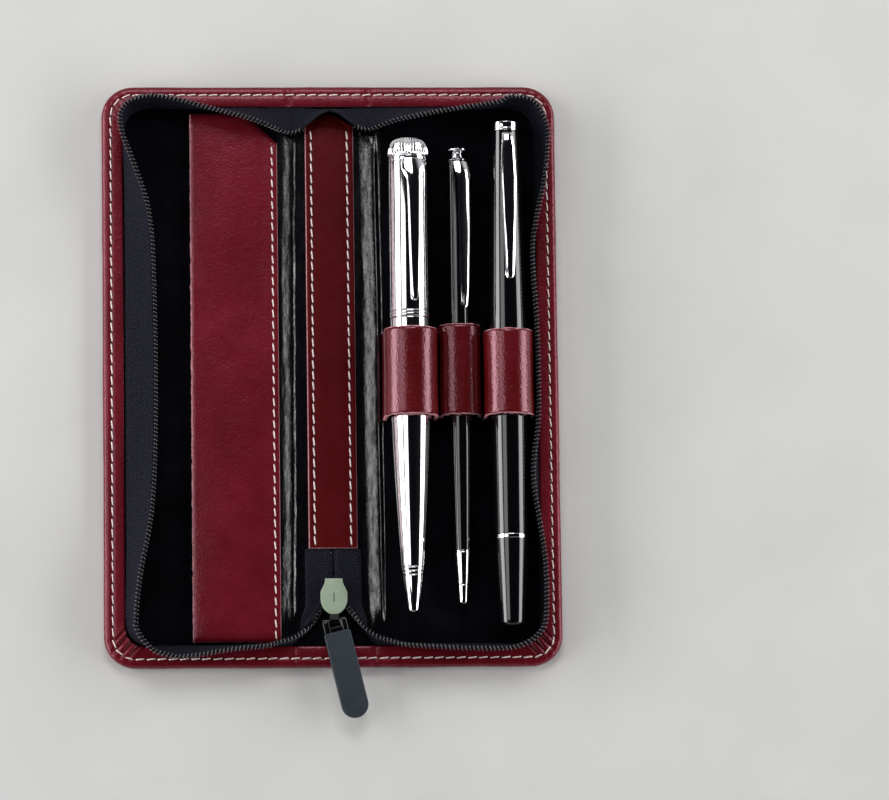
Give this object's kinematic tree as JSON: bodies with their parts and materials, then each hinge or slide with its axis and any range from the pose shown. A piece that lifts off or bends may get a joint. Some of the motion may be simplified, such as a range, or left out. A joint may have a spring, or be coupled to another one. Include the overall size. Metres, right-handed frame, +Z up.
{
  "type": "zip-round pen case",
  "caption": "Zip-round leather pen case lying open, with a lined spine, pocket panel, zip walls, slider with pull tab and pens held in leather loops.",
  "frame": {"origin": "middle of the spine's underside, on the surface that the open case lies on", "axes": "+Z up from the inside of the open case, +Y along the spine towards the gusset end, +X towards the cover that holds the pens"},
  "size_m": [0.13, 0.1827, 0.0163],
  "materials": {
    "burgundy_leather": "smooth, semi-gloss, fine grain",
    "black_lining": "thin, glossy",
    "stiffener": "plain",
    "zip_tape": "woven",
    "zip_coil": "satin nylon",
    "slider_enamel": "matt enamel",
    "pull_wire": "gloss",
    "pull_rubber": "matt",
    "chrome": "mirror",
    "black_lacquer": "high gloss",
    "refill_metal": "plain"
  },
  "bodies": {
    "right_cover": {"right_cover_leather": "burgundy_leather", "right_cover_board": "stiffener", "right_cover_lining": "black_lining", "right_cover_border": "burgundy_leather", "right_zip_tape": "zip_tape", "right_zip_coil": "zip_coil", "pen_loop_1": "burgundy_leather", "pen_loop_2": "burgundy_leather", "pen_loop_3": "burgundy_leather"},
    "spine": {"spine_leather": "burgundy_leather", "spine_board": "stiffener", "spine_lining": "black_lining", "spine_top_border": "burgundy_leather", "spine_bottom_border": "burgundy_leather", "spine_strip": "burgundy_leather", "top_gusset": "zip_tape", "zip_tail_tape": "zip_tape", "zip_tail_coil": "zip_coil"},
    "left_cover": {"left_cover_leather": "burgundy_leather", "left_cover_board": "stiffener", "left_cover_lining": "black_lining", "left_cover_border": "burgundy_leather", "left_zip_tape": "zip_tape", "left_zip_coil": "zip_coil", "pocket_panel": "burgundy_leather"},
    "slider": {"slider_body": "slider_enamel"},
    "pull": {"pull_link": "pull_wire", "pull_tab": "pull_rubber"},
    "chrome_pen": {"chrome_pen_crown": "chrome", "chrome_pen_upper_barrel": "chrome", "chrome_pen_clip": "chrome", "chrome_pen_ring": "chrome"},
    "chrome_pen_lower": {"chrome_pen_lower_barrel": "chrome", "chrome_pen_nose": "chrome"},
    "chrome_refill": {"chrome_pen_refill": "refill_metal"},
    "slim_pen": {"slim_pen_finial": "chrome", "slim_pen_finial_ring": "chrome", "slim_pen_upper_barrel": "black_lacquer", "slim_pen_clip": "chrome"},
    "slim_pen_lower": {"slim_pen_lower_barrel": "black_lacquer", "slim_pen_nose": "chrome"},
    "slim_refill": {"slim_pen_refill": "refill_metal"},
    "capped_pen": {"capped_pen_ring": "chrome", "capped_pen_cap": "black_lacquer", "capped_pen_clip": "chrome", "capped_pen_barrel": "black_lacquer", "capped_pen_barrel_ring": "chrome", "capped_pen_tail": "black_lacquer"}
  },
  "joints": [
    {"name": "spine_fold", "type": "hinge", "parent": "right_cover", "child": "spine", "pos_m": [0.0115, 0, 0.0012], "axis": [0, 1, 0], "range_deg": [0, 90]},
    {"name": "left_cover_fold", "type": "hinge", "parent": "spine", "child": "left_cover", "pos_m": [-0.0115, 0, 0.0012], "axis": [0, 1, 0], "range_deg": [0, 90]},
    {"name": "slider_run", "type": "slide", "parent": "spine", "child": "slider", "axis": [0, 1, 0], "range_m": [0, 0.004]},
    {"name": "pull_swing", "type": "hinge", "parent": "slider", "child": "pull", "pos_m": [0, -0.07145, 0.00647], "axis": [1, 0, 0], "range_deg": [-110, 0]},
    {"name": "chrome_pen_slide", "type": "slide", "parent": "right_cover", "child": "chrome_pen", "axis": [0, 1, 0], "range_m": [-0.003, 0.0025]},
    {"name": "chrome_pen_twist", "type": "hinge", "parent": "chrome_pen", "child": "chrome_pen_lower", "pos_m": [0.0224, 0, 0.00885], "axis": [0, 1, 0], "range_deg": [0, 180]},
    {"name": "chrome_refill_slide", "type": "slide", "parent": "chrome_pen", "child": "chrome_refill", "axis": [0, -1, 0], "range_m": [0, 0.0024]},
    {"name": "slim_pen_slide", "type": "slide", "parent": "right_cover", "child": "slim_pen", "axis": [0, 1, 0], "range_m": [-0.004, 0.005]},
    {"name": "slim_pen_twist", "type": "hinge", "parent": "slim_pen", "child": "slim_pen_lower", "pos_m": [0.03666, 0, 0.00615], "axis": [0, 1, 0], "range_deg": [0, 180]},
    {"name": "slim_refill_slide", "type": "slide", "parent": "slim_pen", "child": "slim_refill", "axis": [0, -1, 0], "range_m": [0, 0.0024]},
    {"name": "capped_pen_slide", "type": "slide", "parent": "right_cover", "child": "capped_pen", "axis": [0, 1, 0], "range_m": [-0.0025, 0.0025]}
  ],
  "couplings": [
    {"joint": "left_cover_fold", "follows": "spine_fold", "ratio": 1},
    {"joint": "chrome_pen_twist", "follows": "chrome_refill_slide", "rad_per_m": 1309},
    {"joint": "slim_pen_twist", "follows": "slim_refill_slide", "rad_per_m": 1309}
  ]
}
